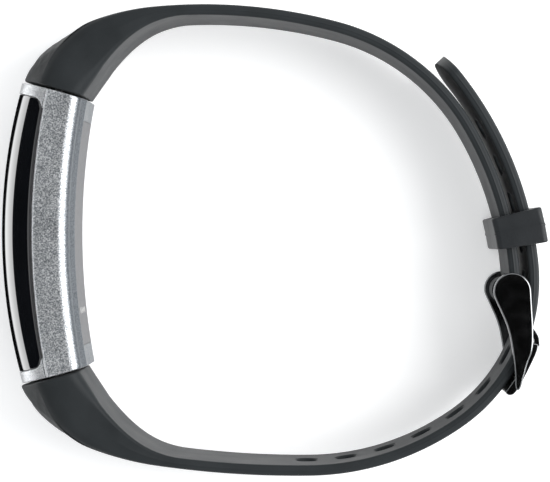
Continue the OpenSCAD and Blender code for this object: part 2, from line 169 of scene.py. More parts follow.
def loft(name, rings, closed=False):
    """A solid through rings of equal length, with flat ends, or joined end to start."""
    count, size = len(rings), len(rings[0])
    faces = []
    for i in range(count if closed else count - 1):
        a, b = i * size, (i + 1) % count * size
        for j in range(size):
            k = (j + 1) % size
            faces.append((a + j, a + k, b + k, b + j))
    if not closed:
        faces.append(tuple(range(size - 1, -1, -1)))
        faces.append(tuple((count - 1) * size + j for j in range(size)))
    return make_object(name, [p for ring in rings for p in ring], faces)


def grid_solid(name, top, base):
    """A solid between two grids of the same size that share no points."""
    rows, cols = len(top), len(top[0])
    half = rows * cols
    faces = []
    for i in range(rows - 1):
        for j in range(cols - 1):
            quad = (i * cols + j, i * cols + j + 1, (i + 1) * cols + j + 1, (i + 1) * cols + j)
            faces.append(quad)
            faces.append(tuple(half + q for q in reversed(quad)))
    rim = [j for j in range(cols)]
    rim += [i * cols + cols - 1 for i in range(1, rows)]
    rim += [(rows - 1) * cols + j for j in range(cols - 2, -1, -1)]
    rim += [i * cols for i in range(rows - 2, 0, -1)]
    for a, b in zip(rim, rim[1:] + rim[:1]):
        faces.append((b, a, half + a, half + b))
    points = [p for row in top for p in row] + [p for row in base for p in row]
    return make_object(name, points, faces)


def apply_modifiers(obj):
    """Replaces the object's mesh with what its modifiers make of it."""
    graph = bpy.context.evaluated_depsgraph_get()
    graph.update()
    made = bpy.data.meshes.new_from_object(obj.evaluated_get(graph))
    obj.modifiers.clear()
    obj.data = made


def combine(target, tool, operation):
    """Joins a solid to the target, or cuts it from the target, and removes it."""
    modifier = target.modifiers.new("combine", "BOOLEAN")
    modifier.operation = operation
    modifier.object = tool
    modifier.solver = "EXACT"
    apply_modifiers(target)
    bpy.data.objects.remove(tool)
    clean(target)


def dress(obj, body, slot, material, *nodes, angle=32):
    """Shading, material, body and the CAD nodes that a piece stands for; the slot argument is not used."""
    obj.data.transform(Matrix.Translation(SHIFT * MM) @ Matrix.Scale(MM, 4))
    obj.data.materials.clear()
    obj.data.materials.append(material)
    for polygon in obj.data.polygons:
        polygon.use_smooth = True
        polygon.material_index = 0
    obj.data.set_sharp_from_angle(angle=math.radians(angle))
    weighted = obj.modifiers.new("even_normals", "WEIGHTED_NORMAL")
    weighted.keep_sharp = True
    weighted.weight = 80
    apply_modifiers(obj)
    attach(obj, body)
    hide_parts(*nodes)


def fillet(before, corner, after, radius, steps=4):
    """Points of an arc that rounds the corner between two neighbours."""
    corner = np.array(corner, float)
    to_a = np.array(before, float) - corner
    to_b = np.array(after, float) - corner
    to_a /= np.linalg.norm(to_a)
    to_b /= np.linalg.norm(to_b)
    half = math.acos(max(-1.0, min(1.0, float(to_a @ to_b)))) / 2
    middle = (to_a + to_b) / np.linalg.norm(to_a + to_b)
    centre = corner + middle * radius / math.sin(half)
    first = corner + to_a * radius / math.tan(half) - centre
    last = corner + to_b * radius / math.tan(half) - centre
    sweep = math.pi - 2 * half
    turn = math.copysign(1, first[0] * last[1] - first[1] * last[0])
    made = []
    for i in range(steps + 1):
        a = turn * sweep * i / steps
        made.append(centre + np.array([
            first[0] * math.cos(a) - first[1] * math.sin(a),
            first[0] * math.sin(a) + first[1] * math.cos(a)]))
    return made


def rounded(corners, radii, steps=4):
    """A closed outline with each corner rounded by its own radius; 0 leaves it sharp."""
    made = []
    for i, corner in enumerate(corners):
        if radii[i] <= 0:
            made.append(np.array(corner, float))
        else:
            made += fillet(corners[i - 1], corner, corners[(i + 1) % len(corners)], radii[i], steps)
    return made


def corner_cuts(points):
    """Two points on each stretch of an open line, a quarter of the way from its ends."""
    return [q for a, b in zip(points, points[1:])
            for q in (0.75 * a + 0.25 * b, 0.25 * a + 0.75 * b)]


def softened(points, passes=2):
    """A closed outline with its corners cut to a smooth curve."""
    pts = [np.array(p, float) for p in points]
    for _ in range(passes):
        pts = corner_cuts(pts + pts[:1])
    return pts


def outline_normals(outline):
    """Outward normals at the points of a closed outline."""
    pts = np.array(outline)
    along = np.roll(pts, -1, 0) - np.roll(pts, 1, 0)
    out = np.stack([along[:, 1], -along[:, 0]], 1)
    out /= np.linalg.norm(out, axis=1)[:, None]
    area = np.sum(pts[:, 0] * np.roll(pts[:, 1], -1) - np.roll(pts[:, 0], -1) * pts[:, 1])
    return out if area > 0 else -out


def edge_steps(radius, steps=3):
    """(inset, depth) pairs round an edge of that radius, from its face to its side."""
    turns = [math.pi / 2 * i / steps for i in range(steps + 1)]
    return [(radius * (1 - math.sin(a)), radius * (1 - math.cos(a))) for a in turns]


def prism(name, outline, z0, z1, radius, steps=3):
    """An outline in the loop's plane, raised from z0 to z1, with rounded edges."""
    pts = np.array(outline)
    out = outline_normals(outline)
    levels = [(inset, z0 + depth) for inset, depth in edge_steps(radius, steps)]
    levels += [(inset, z1 - depth) for inset, depth in reversed(edge_steps(radius, steps))]
    rings = []
    for inset, z in levels:
        moved = pts - out * inset
        rings.append([(x, y, z) for x, y in moved])
    return loft(name, rings)


def cylinder(name, centre, radius, z0, z1, edge=0.0, sides=64):
    """A round bar along the loop's axis, with rounded ends where edge is given."""
    ring = [(centre[0] + radius * math.cos(t), centre[1] + radius * math.sin(t))
            for t in np.linspace(0, 2 * math.pi, sides, endpoint=False)]
    if edge > 0:
        return prism(name, ring, z0, z1, edge)
    return loft(name, [[(x, y, z) for x, y in ring] for z in (z0, z1)])


# ------------------------------------------------------------------ straps
def run_of(arc):
    """Length of one (radius, turn in degrees) arc."""
    return abs(arc[0]) * math.radians(arc[1])


def length_of(arcs):
    return sum(run_of(arc) for arc in arcs)


def pose_along(strap, s):
    """Point and heading, in radians, at distance s along a strap's crown line."""
    x, y = strap["start"]
    heading = math.radians(strap["heading"])
    if s < 0:
        return x + s * math.cos(heading), y + s * math.sin(heading), heading
    for i, arc in enumerate(strap["arcs"]):
        run = run_of(arc)
        step = s if i == len(strap["arcs"]) - 1 else min(s, run)
        turned = heading + step / arc[0]
        x += arc[0] * (math.sin(turned) - math.sin(heading))
        y += arc[0] * (math.cos(heading) - math.cos(turned))
        heading = turned
        s -= step
        if s <= 0:
            break
    return x, y, heading


def ease(s, start, run):
    """1 before the start of a run, 0 after its end, with a smooth change between."""
    return (1 + math.cos(math.pi * min(1.0, max(0.0, (s - start) / run)))) / 2


UPPER_LEN = length_of(UPPER["arcs"])
LOWER_LEN = length_of(LOWER["arcs"])


def arc_centre(strap, index):
    """Centre of the arc that starts after the first arcs of a strap."""
    x, y, heading = pose_along(strap, length_of(strap["arcs"][:index]))
    radius = strap["arcs"][index][0]
    return np.array([x - radius * math.sin(heading), y + radius * math.cos(heading)])


BEND_C = arc_centre(LOWER, 4)
BEND_R = LOWER["arcs"][4][0]
TAIL_R = LOWER["arcs"][5][0]
UNDER_R = -UPPER["arcs"][4][0]


def on_bend(radius, degrees):
    """A point round the centre of the bend that the buckle lies on."""
    a = math.radians(degrees)
    return BEND_C + radius * np.array([math.cos(a), math.sin(a)])


# The outer surface carries a fine raised diamond grid that fades out towards the edges.
GRID_PITCH = 1.55
GRID_RELIEF = 0.11
GRID_FADE_IN = 2.5
OUTER_STEPS = 30
OUTER_SHARE = 0.94
EDGE_ROUND = 0.48
INNER_ROUND = 0.45
ROOT_INNER_ROUND = 1.8
ROOT_EDGE_ROUND = 3.6
SEAM_H, SEAM_HALF = 0.07, 0.12
SEAM_START, SEAM_FADE = 12.0, 14.0
RING_STEP = 0.36
END_ROUND = 0.3
# Over this run from the joint the root's wide rounding turns into the plain strap's.
ROOT_CHANGE_RUN = 22.0
# Over this run from the joint the sections fan out evenly from the joint plane's direction.
FAN_RUN = 13.0
# Distance along the crown line after which a strap starts to narrow.
NARROW_FROM = 2.0


def grid_relief(s, z):
    """Height of the diamond grid at distance s and height z."""
    a = abs(math.sin(math.pi * (s + z) / (2 * GRID_PITCH)))
    b = abs(math.sin(math.pi * (s - z) / (2 * GRID_PITCH)))
    return GRID_RELIEF * (1 - min(a, b) ** 0.5)


def thickness_at(s):
    """Thickness of a strap at distance s, from its root down to its plain stretch."""
    return STRAP_T + (ROOT_T - STRAP_T) * ease(s, ROOT_RUN, TAPER_RUN)


def strap_section(s, strap_len, thick, width_share=1.0, inset=0.0):
    """(offset inward, z) round one cross-section of a strap at distance s."""
    if strap_len:
        thick -= (STRAP_T - TIP_T) * (1 - ease(s, strap_len - NOSE_RUN, NOSE_RUN))
    narrowing = min(1.0, max(0.0, (s - NARROW_FROM) / WIDTH_RUN))
    width = STRAP_W + (BAND_W - STRAP_W) * (1 - narrowing)
    half = max(0.05, width * width_share / 2 - inset)
    drop = EDGE_DROP + (CROWN_DROP - EDGE_DROP) * ease(s, 0, CROWN_RUN)
    share = min(1.0, max(0.05, width_share))
    root = ease(s, 0, ROOT_CHANGE_RUN)
    fade = (1 - ease(s, 0.5, GRID_FADE_IN)) * (1 if inset == 0 else 0) * share
    if strap_len:
        fade *= ease(s, strap_len - 2 * GRID_FADE_IN, GRID_FADE_IN)
    outer = []
    outer_share = OUTER_SHARE - 0.1 * root
    for i in range(OUTER_STEPS + 1):
        f = outer_share * i / OUTER_STEPS
        z = half * f
        across = 1 - ease(1 - f, 0.08, 0.2) if f > 0.6 else 1.0
        outer.append((drop * f * f + inset + fade * across * (GRID_RELIEF - grid_relief(s, z)), z))
    n_in = thick - inset
    n_edge = drop + inset
    edge_r = (EDGE_ROUND + (ROOT_EDGE_ROUND - EDGE_ROUND) * root) * share
    inner_r = (INNER_ROUND + (ROOT_INNER_ROUND - INNER_ROUND) * root) * share
    inner_r = min(inner_r, (n_in - n_edge) * 0.55)
    edge_r = min(edge_r, (n_in - n_edge) * (0.4 + 0.3 * root))
    seam = n_edge + 0.5 * (n_in - n_edge)
    lift = SEAM_H * share * (1 - ease(s, SEAM_START, SEAM_FADE))
    points = list(outer)
    points += fillet(outer[-1], (n_edge, half), (seam, half), edge_r, 5)
    points += [(seam - SEAM_HALF * share, half), (seam, half + lift),
               (seam + SEAM_HALF * share, half)]
    points += fillet((seam, half), (n_in, half), (n_in, 0), inner_r, 6)
    points += [(n_in, half * f) for f in (0.6, 0.3)]
    points += [(n_in, 0.0)]
    mirrored = [(n, -z) for n, z in reversed(points[1:-1])]
    return points + mirrored


def strap_ring(strap, s, heading, section):
    """A cross-section set up at distance s, square to a heading."""
    x, y, _ = pose_along(strap, s)
    side = strap["side"]
    return [(x - side * n * math.sin(heading), y + side * n * math.cos(heading), z)
            for n, z in section]


def joint_start(strap):
    """Distance along the crown line at which a strap meets its joint plane."""
    sign = -strap["side"]
    normal = np.array([math.sin(JOINT_TILT), sign * math.cos(JOINT_TILT)])
    place = np.array([JOINT_POS[0], sign * JOINT_POS[1]])
    x, y, heading = pose_along(strap, 0.0)
    away = (np.array([x, y]) - place) @ normal
    return (JOINT_GAP - away) / (math.cos(heading) * normal[0] + math.sin(heading) * normal[1])


def inner_point(strap, s, heading, thick):
    """A point at a depth below the crown line, square to a heading."""
    x, y, _ = pose_along(strap, s)
    depth = strap["side"] * thick
    return np.array([x - depth * math.sin(heading), y + depth * math.cos(heading)])


def thickness_to_line(strap, s, heading, first, last):
    """Thickness at which a section's inner side lies on the straight line between two points."""
    crown = inner_point(strap, s, heading, 0.0)
    way = inner_point(strap, s, heading, 1.0) - crown
    line, to_first = last - first, first - crown
    return (to_first[0] * line[1] - to_first[1] * line[0]) / (way[0] * line[1] - way[1] * line[0])


def strap_solid(name, strap, total, tail):
    """A strap from its joint plane to its end, with a rounded nose where tail is true."""
    start = joint_start(strap)
    plane_heading = -strap["side"] * (math.pi / 2 - JOINT_TILT)
    body = total - NOSE_RUN if tail else total
    strap_len = total if tail else 0
    fan_end = start + FAN_RUN
    fan_heading = pose_along(strap, fan_end)[2]
    inner_start = inner_point(strap, start, plane_heading, ROOT_T)
    inner_end = inner_point(strap, fan_end, fan_heading, thickness_at(fan_end))
    stations = [(start + depth, 1.0, inset) for inset, depth in edge_steps(END_ROUND, 4)]
    count = math.ceil((body - start - END_ROUND) / RING_STEP)
    step = (body - start - END_ROUND) / count
    stations += [(start + END_ROUND + step * i, 1.0, 0.0) for i in range(1, count + 1)]
    if tail:
        for degrees in range(4, 89, 3):
            a = math.radians(degrees)
            stations.append((body + NOSE_RUN * math.sin(a), math.cos(a), 0.0))
    rings = []
    for s, share, inset in stations:
        part = (s - start) / FAN_RUN
        if part < 1:
            heading = plane_heading + (fan_heading - plane_heading) * part
            thick = thickness_to_line(strap, s, heading, inner_start, inner_end)
        else:
            heading, thick = pose_along(strap, s)[2], thickness_at(s)
        rings.append(strap_ring(strap, s, heading, strap_section(s, strap_len, thick, share, inset)))
    return loft(name, rings)


def hole_cutter(name, centre, heading):
    """A slot through the strap, flared a little where it meets each surface."""
    flare = 0.28
    levels = [(-1.2, flare), (0.12, flare), (0.22, 0.12), (0.42, 0.0),
              (STRAP_T - 0.3, 0.0), (STRAP_T - 0.1, 0.12), (STRAP_T, flare), (STRAP_T + 1.0, flare)]
    straight = (HOLE_W - HOLE_L) / 2
    rings = []
    for n, grow in levels:
        r = HOLE_L / 2 + grow
        ring = []
        for end in (1, -1):
            for t in np.linspace(-math.pi / 2, math.pi / 2, 12):
                along = r * math.sin(t) * end
                across = end * (straight + r * math.cos(t))
                ring.append((along, across))
        rings.append([(centre[0] + along * math.cos(heading) - n * math.sin(heading),
                       centre[1] + along * math.sin(heading) + n * math.cos(heading), across)
                      for along, across in ring])
    return loft(name, rings)


def upper_strap(material):
    """The strap whose barrel turns round the spring bar."""
    strap = strap_solid("upper_strap_moulding", UPPER, UPPER_LEN, False)
    barrel = cylinder("barrel", PIVOT, BARREL_R, -STRAP_W / 2, STRAP_W / 2, 0.4)
    combine(strap, barrel, "UNION")
    slot_half = EYE_W / 2 + EYE_SLOT_GAP
    combine(strap, cylinder("slot", PIVOT, EYE_SLOT_R, -slot_half, slot_half), "DIFFERENCE")
    combine(strap, cylinder("bore", PIVOT, TUBE_R, -BAND_W, BAND_W), "DIFFERENCE")
    dress(strap, "root", "strap_silicone", material, "upper_strap")


def lower_strap(material):
    """The strap with the adjusting holes, which are counted from the one that the tongue is in."""
    strap = strap_solid("lower_strap_moulding", LOWER, LOWER_LEN, True)
    first = length_of(LOWER["arcs"][:5])
    bend_end = pose_along(LOWER, first)[2]
    first -= (bend_end - math.radians(90 + TONGUE_HOLE_ANGLE)) * BEND_R
    for k in range(-HOLES_AFTER, HOLES_BEFORE + 1):
        x, y, heading = pose_along(LOWER, first - k * HOLE_PITCH)
        combine(strap, hole_cutter("hole", (x, y), heading), "DIFFERENCE")
    dress(strap, "root", "strap_silicone", material, "lower_strap")


# ------------------------------------------------------------------ capsule
def dome_radius(z):
    """Distance from the crown arc's centre to the dome at height z."""
    return CROWN_R - DOME_R + math.sqrt(DOME_R ** 2 - z * z)


def dome_point(z, a, sink=0.0):
    """A point on the dome at angle a from the middle, sunk along the surface's normal."""
    tilt = math.asin(z / DOME_R)
    r = dome_radius(z) - sink * math.cos(tilt)
    return np.array([CROWN_C - r * math.cos(a), r * math.sin(a), z - sink * math.sin(tilt)])


def last_true(low, high, test):
    """The largest value between low and high for which the test holds, by halving."""
    for _ in range(18):
        middle = (low + high) / 2
        if test(middle):
            low = middle
        else:
            high = middle
    return low


def ahead_of_frame(p):
    """True in front of the frame's front arc."""
    return math.hypot(p[0] - EDGE_C, p[1]) > EDGE_R


def dome_edge(a):
    """Height at which the dome meets the frame's front edge, at angle a."""
    return last_true(6.0, DOME_HALF_W, lambda z: ahead_of_frame(dome_point(z, a)))


def tilt_distance(p):
    """How far a point lies from the joint plane, towards the strap."""
    return (p[0] - JOINT_POS[0]) * math.sin(JOINT_TILT) + (p[1] - JOINT_POS[1]) * math.cos(JOINT_TILT)


def inside_glass(x, y, gap=0.0):
    """True inside the glass's outline in the loop's plane, grown by gap."""
    y = abs(y)
    r = GLASS_CORNER_R + gap
    to_c = np.array([x, y]) - GLASS_CORNER
    out = np.array([math.sin(JOINT_TILT), math.cos(JOINT_TILT)])
    if to_c @ out > r:
        return False
    beyond = to_c @ np.array([out[1], -out[0]]) > 0 and to_c[1] > 0
    return not (beyond and np.hypot(*to_c) > r)


def dome_end(z, gap=0.0):
    """Angle at which the glass ends at height z."""
    return last_true(0.15, 0.30, lambda a: inside_glass(*dome_point(z, a)[:2], gap))


def joint_end(z):
    """Angle at which the frame ends at height z, on its side of the joint."""
    return last_true(0.15, 0.35, lambda a: tilt_distance(dome_point(z, a)) < -JOINT_GAP)


def seat_on_frame(p, radius):
    """Moves a point forward where it would lie behind the frame's front arc."""
    away = np.array([p[0] - EDGE_C, p[1]])
    if np.hypot(*away) < radius:
        away *= radius / np.hypot(*away)
        return np.array([away[0] + EDGE_C, away[1], p[2]])
    return p


def shares(radius, half_length, steps, inner):
    """(share of the half length, sink) pairs from one rounded edge to the other."""
    edge = [(1 - inset / half_length, depth) for inset, depth in edge_steps(radius, steps)]
    flat = edge[0][0]
    middle = [(flat * (2 * i / inner - 1), 0.0) for i in range(inner + 1)]
    return [(-u, d) for u, d in reversed(edge[1:])] + middle + edge[1:]


def front_glass(material):
    """The domed glass, with a fine rounded rim."""
    rim = 0.14
    along = shares(rim, GLASS_HALF_L, 3, 110)
    across = shares(rim, GLASS_HALF_W, 3, 56)
    top, base = [], []
    for u, sink_u in along:
        top_row, base_row = [], []
        for v, sink_v in across:
            a = u * GLASS_END_ANGLE
            for _ in range(5):
                z = v * dome_edge(abs(a))
                a = u * dome_end(z)
            sink = min(rim, math.hypot(sink_u, sink_v))
            top_row.append(dome_point(z, a, sink))
            base_row.append(seat_on_frame(dome_point(z, a, GLASS_T), EDGE_R))
        top.append(top_row)
        base.append(base_row)
    glass = grid_solid("front_glass_dome", top, base)
    dress(glass, "root", "glass_black", material, "front_glass", angle=50)


def end_lip(sign):
    """The domed lip of the frame between one end of the glass and the joint."""
    rim = 0.16
    glass_gap = 0.04
    # The lip's base: its depth below the dome, how far it is sunk in the frame, its narrowing.
    depth, bury, taper = 2.2, 1.2, 0.97
    along = shares(rim, END_LIP / 2, 3, 8)
    top, base = [], []
    for u, sink in along:
        top_row, base_row = [], []
        for v in np.linspace(-1, 1, 57):
            a = GLASS_END_ANGLE
            for _ in range(5):
                z = v * dome_edge(a)
                low, high = dome_end(z, glass_gap), joint_end(z)
                a = (low + high) / 2 + u * (high - low) / 2
            top_row.append(dome_point(z, a, sink) * (1, sign, 1))
            deep = dome_point(z, a, depth)
            away = np.array([deep[0] - EDGE_C, deep[1]])
            away *= (EDGE_R - bury) / np.hypot(*away)
            base_row.append(np.array([away[0] + EDGE_C, away[1] * sign, z * taper]))
        top.append(top_row)
        base.append(base_row)
    return grid_solid("lip", top, base)


def crossing(origin, way, centre_x, radius):
    """Distance from origin along way to a circle about (centre_x, 0)."""
    to = origin - np.array([centre_x, 0.0])
    b = to @ way
    return -b + math.copysign(1, b) * math.sqrt(b * b - (to @ to - radius * radius))


def frame_block():
    """The frame's side walls and back as one block between the joint planes."""
    end_r, front_r, foot_r, rise_r = 0.2, 0.45, 0.4, 0.3
    back_r = BACK_EDGE_R - 0.1
    radii = [front_r, front_r, back_r, foot_r, rise_r, rise_r, foot_r, back_r]
    rings = []
    half_run = JOINT_POS[1] - JOINT_GAP / math.cos(JOINT_TILT)
    for u, sink in shares(end_r, half_run, 3, 72):
        tilt = JOINT_TILT * u
        origin = np.array([JOINT_POS[0], half_run * u])
        way = np.array([-math.cos(tilt), math.sin(tilt)])
        front = crossing(origin, way, EDGE_C, EDGE_R - 0.2)
        back = crossing(origin, way, BACK_C, BACK_R)
        half = HALF_W - sink
        raised = back - BACK_RISE
        foot, top = RISE_FOOT_HALF_W - sink, RISE_HALF_W - sink
        corners = [(front - sink, -half), (front - sink, half), (back + sink, half),
                   (back + sink, foot), (raised + sink, top), (raised + sink, -top),
                   (back + sink, -foot), (back + sink, -half)]
        rings.append([(*(origin + way * q[0]), q[1]) for q in rounded(corners, radii, 8)])
    return loft("case_frame_shell", rings)


def arc_slab(name, centre_x, r0, r1, half_l, half_w):
    """A block between two arcs about a centre, cut to a length and width."""
    rings = []
    for y in np.linspace(-half_l, half_l, 25):
        x0, x1 = (centre_x - math.sqrt(r * r - y * y) for r in (r0, r1))
        rings.append([(x0, y, -half_w), (x1, y, -half_w), (x1, y, half_w), (x0, y, half_w)])
    return loft(name, rings)


def case_frame(material):
    """The frame: a block with a lip at each end, hollowed, and opened at the back for the cover."""
    shell = frame_block()
    for sign in (1, -1):
        combine(shell, end_lip(sign), "UNION")
    cavity = arc_slab("cavity", BACK_C, BACK_R + REAR_SKIN, BACK_R + 20, *CAVITY_HALF)
    combine(shell, cavity, "DIFFERENCE")
    window = arc_slab("window", BACK_C, BACK_R - 3, BACK_R + 4, *WINDOW_HALF)
    combine(shell, window, "DIFFERENCE")
    dress(shell, "root", "case_metal", material, "case_frame")


# ------------------------------------------------------------------ keeper
def keeper(material):
    """The keeper loop: its wall's rounded section carried round a rounded rectangle."""
    inner = (UNDER_R - STRAP_T - KEEPER_GAP, TAIL_R + KEEPER_GAP)
    middle_r = (inner[0] + inner[1]) / 2
    half_in = STRAP_W / 2 + KEEPER_SIDE_GAP
    half_out = HALF_W - 0.1
    outer = (inner[0] - KEEPER_WALL, inner[1] + KEEPER_WALL)
    half_l = math.radians(KEEPER_HALF_SPAN) * middle_r
    r_edge, seam = 0.28, 0.06
    # (depth from the opening to the outside, place along the band) round the wall's section.
    corners = [(0, -half_l), (KEEPER_WALL, -half_l), (KEEPER_WALL, half_l), (0, half_l)]
    section = rounded(corners, [r_edge] * 4, 4)
    at = next(i for i, q in enumerate(section) if q[0] > KEEPER_WALL - 1e-6 and q[1] > 0)
    section[at:at] = [np.array([KEEPER_WALL + lift, y])
                      for y, lift in ((-0.22, 0), (-0.1, seam), (0.1, seam), (0.22, 0))]
    rings = []
    for depth, along in section:
        share = depth / KEEPER_WALL
        low = inner[0] + (outer[0] - inner[0]) * share
        high = inner[1] + (outer[1] - inner[1]) * share
        half = half_in + (half_out - half_in) * share
        corner_r = 0.5 + 0.25 * share
        loop = rounded([(low, -half), (high, -half), (high, half), (low, half)], [corner_r] * 4, 6)
        a = math.radians(KEEPER_ANGLE) + along / middle_r
        rings.append([(SLIDE_C[0] + r * math.cos(a), SLIDE_C[1] + r * math.sin(a), z) for r, z in loop])
    loop = loft("keeper_loop", rings, closed=True)
    dress(loop, "keeper", "keeper_silicone", material, "keeper")


# ------------------------------------------------------------------ buckle
TONGUE_TIP = on_bend(27.09, -20.2)


def plate_outline():
    """Side plate: a round head on the pivot, narrowing to the foot below the cross bar."""
    head_x, head_r = 0.1, 2.65
    head = [(head_x + head_r * math.cos(math.radians(d)), head_r * math.sin(math.radians(d)))
            for d in range(0, 196, 15)]
    side = [(-1.8, -2.1), (-0.45, -5.1), (0.15, -8.3), (0.5, -11.6), (0.45, -13.5),
            (0.8, -14.0), (1.25, -13.7), (1.7, -12.0), (2.3, -9.8), (3.0, -8.3), (3.05, -5.0), (2.85, -2.0)]
    return [q + PIVOT[:2] for q in softened(head + side, 2)]


def bar_outline():
    """Cross bar: it follows the strap inside and is nearly straight outside."""
    inner = [on_bend(BEND_R + BAR_GAP, d) for d in np.linspace(-38.2, -20.5, 12)]
    top, foot = np.array([33.75, -15.9]), np.array([30.4, -22.6])
    outer = [top + (-0.55, 0.3), top, (top + foot) / 2 + (0.12, -0.05), foot, foot + (-0.9, -0.35)]
    return softened(inner + outer, 2)


def buckle_frame(material):
    """The buckle frame: the cross bar, its two side plates, a notch for the tongue's tip and two sockets."""
    outer_z = HALF_W
    inner_z = HALF_W - PLATE_T
    bar_end = outer_z - 0.4
    plate_edge_r, bar_edge_r = 0.2, 0.1
    notch_r, notch_half_w = 0.75, 1.8
    socket_depth = 0.8
    frame_piece = prism("buckle_frame_casting", bar_outline(), -bar_end, bar_end, bar_edge_r)
    for z0, z1 in ((inner_z, outer_z), (-outer_z, -inner_z)):
        combine(frame_piece, prism("plate", plate_outline(), z0, z1, plate_edge_r), "UNION")
    combine(frame_piece, cylinder("notch", TONGUE_TIP, notch_r, -notch_half_w, notch_half_w), "DIFFERENCE")
    for sign in (1, -1):
        z0, z1 = sorted((sign * (inner_z - 1), sign * (inner_z + socket_depth)))
        combine(frame_piece, cylinder("socket", PIVOT, STEM_R + RUN_FIT, z0, z1), "DIFFERENCE")
    dress(frame_piece, "buckle", "buckle_black", material, "buckle_frame")


def buckle_tongue(material):
    """The tongue: a flat blade through the strap's hole, with an eye on the spring bar."""
    half = 0.4
    path = [PIVOT[:2] + (-0.6, -1.2), on_bend(22.6, -11.2), on_bend(24.5, -15.0),
            on_bend(26.57, -17.66), TONGUE_TIP]
    line = [np.array(p, float) for p in path]
    for _ in range(2):
        line = [line[0]] + corner_cuts(line) + [line[-1]]
    pts = np.array(line)
    along = np.gradient(pts, axis=0)
    along /= np.linalg.norm(along, axis=1)[:, None]
    out = np.stack([-along[:, 1], along[:, 0]], 1)
    tip = pts[-1]
    cap = [tip + half * (math.sin(t) * along[-1] + math.cos(t) * out[-1])
           for t in np.linspace(0.3, math.pi - 0.3, 7)]
    outline = list(pts + out * half) + cap + list((pts - out * half)[::-1])
    blade = prism("buckle_tongue_blade", outline, 0.1 - EYE_W / 2, EYE_W / 2 - 0.1, 0.12)
    eye = cylinder("eye", PIVOT, EYE_R, -EYE_W / 2, EYE_W / 2, 0.16)
    combine(blade, eye, "UNION")
    combine(blade, cylinder("bore", PIVOT, TUBE_R + RUN_FIT, -5, 5), "DIFFERENCE")
    dress(blade, "tongue", "buckle_black", material, "buckle_tongue")


# ------------------------------------------------------------------ materials
class Shader:
    """Builds one Principled material out of noise and bump nodes."""

    def __init__(self, name):
        self.material = bpy.data.materials.new(name)
        self.material.use_nodes = True
        self.nodes = self.material.node_tree.nodes
        self.links = self.material.node_tree.links
        self.main = self.nodes["Principled BSDF"]
        coordinates = self.nodes.new("ShaderNodeTexCoord")
        self.place = coordinates.outputs["Object"]
        self.facing = coordinates.outputs["Normal"]

    def set(self, **values):
        """Gives the Principled node constants, by socket name with _ for a space."""
        for key, value in values.items():
            self.main.inputs[key.replace("_", " ")].default_value = value
        return self

    def noise(self, scale, detail=2.0, rough=0.5, stretch=(1, 1, 1)):
        """Noise at a scale in features a metre."""
        mapping = self.nodes.new("ShaderNodeMapping")
        mapping.inputs["Scale"].default_value = stretch
        self.links.new(self.place, mapping.inputs["Vector"])
        node = self.nodes.new("ShaderNodeTexNoise")
        node.inputs["Scale"].default_value = scale
        node.inputs["Detail"].default_value = detail
        node.inputs["Roughness"].default_value = rough
        self.links.new(mapping.outputs["Vector"], node.inputs["Vector"])
        return node.outputs["Fac"]

    def cells(self, scale):
        """Distance from the middles of scattered cells."""
        node = self.nodes.new("ShaderNodeTexVoronoi")
        node.inputs["Scale"].default_value = scale
        self.links.new(self.place, node.inputs["Vector"])
        return node.outputs["Distance"]

    def ramp(self, source, *stops):
        """A colour ramp of (position, (r, g, b)) stops."""
        node = self.nodes.new("ShaderNodeValToRGB")
        while len(node.color_ramp.elements) < len(stops):
            node.color_ramp.elements.new(0.5)
        for element, (position, color) in zip(node.color_ramp.elements, stops):
            element.position = position
            element.color = (*color, 1)
        self.links.new(source, node.inputs["Fac"])
        return node.outputs["Color"]

    def mix(self, share, first, second):
        """The first colour where share is 0, the second where it is 1."""
        node = self.nodes.new("ShaderNodeMix")
        node.data_type = "RGBA"
        for socket, source in ((0, share), (6, first), (7, second)):
            self.links.new(source, node.inputs[socket])
        return node.outputs[2]

    def level(self, source, low, high, start=0.0, end=1.0):
        """A value between low and high as the source goes from start to end."""
        node = self.nodes.new("ShaderNodeMapRange")
        for key, value in (("From Min", start), ("From Max", end), ("To Min", low), ("To Max", high)):
            node.inputs[key].default_value = value
        self.links.new(source, node.inputs["Value"])
        return node.outputs["Result"]

    def color(self, source):
        """Joins a colour to the Principled node."""
        self.links.new(source, self.main.inputs["Base Color"])
        return self

    def rough(self, source, low, high, start=0.3, end=0.7):
        """Lets the roughness wander between low and high with the source."""
        self.links.new(self.level(source, low, high, start, end), self.main.inputs["Roughness"])
        return self

    def bump(self, source, height, strength=1.0):
        """Bump of a height in metres; bumps add up."""
        node = self.nodes.new("ShaderNodeBump")
        node.inputs["Strength"].default_value = strength
        node.inputs["Distance"].default_value = height
        self.links.new(source, node.inputs["Height"])
        if self.main.inputs["Normal"].is_linked:
            self.links.new(self.main.inputs["Normal"].links[0].from_socket, node.inputs["Normal"])
        self.links.new(node.outputs["Normal"], self.main.inputs["Normal"])
        return self


def silver_paint():
    """Bead-blasted silver with fine sparkling grains; painted shade darkens the faces turned towards the
    wrist and a painted highlight brightens the faces turned outward.
    """
    s = Shader("case_metal_look")
    grain = s.noise(5600, 2.0, 0.55)
    soft = s.noise(260, 2.0)
    paint = s.ramp(grain, (0.34, (0.15, 0.162, 0.174)), (0.5, (0.36, 0.375, 0.39)),
                   (0.66, (0.72, 0.73, 0.74)))
    # Painted shade: a darker copy of the silver, mixed in below on faces turned towards the wrist (+x).
    inner = s.ramp(grain, (0.34, (0.07, 0.08, 0.09)), (0.66, (0.20, 0.22, 0.24)))
    split = s.nodes.new("ShaderNodeSeparateXYZ")
    s.links.new(s.facing, split.inputs["Vector"])
    # Painted highlight: a brighter copy of the silver, mixed in on faces turned outward (-x).
    front = s.ramp(grain, (0.34, (0.50, 0.52, 0.54)), (0.66, (0.95, 0.96, 0.97)))
    paint = s.mix(s.level(split.outputs["X"], 1.0, 0.0, -0.5, -0.1), paint, front)
    s.color(s.mix(s.level(split.outputs["X"], 0.0, 1.0, 0.55, 0.85), paint, inner))
    s.rough(soft, 0.36, 0.44)
    s.bump(grain, 0.00005, 0.8)
    return s.set(Metallic=0.9).material


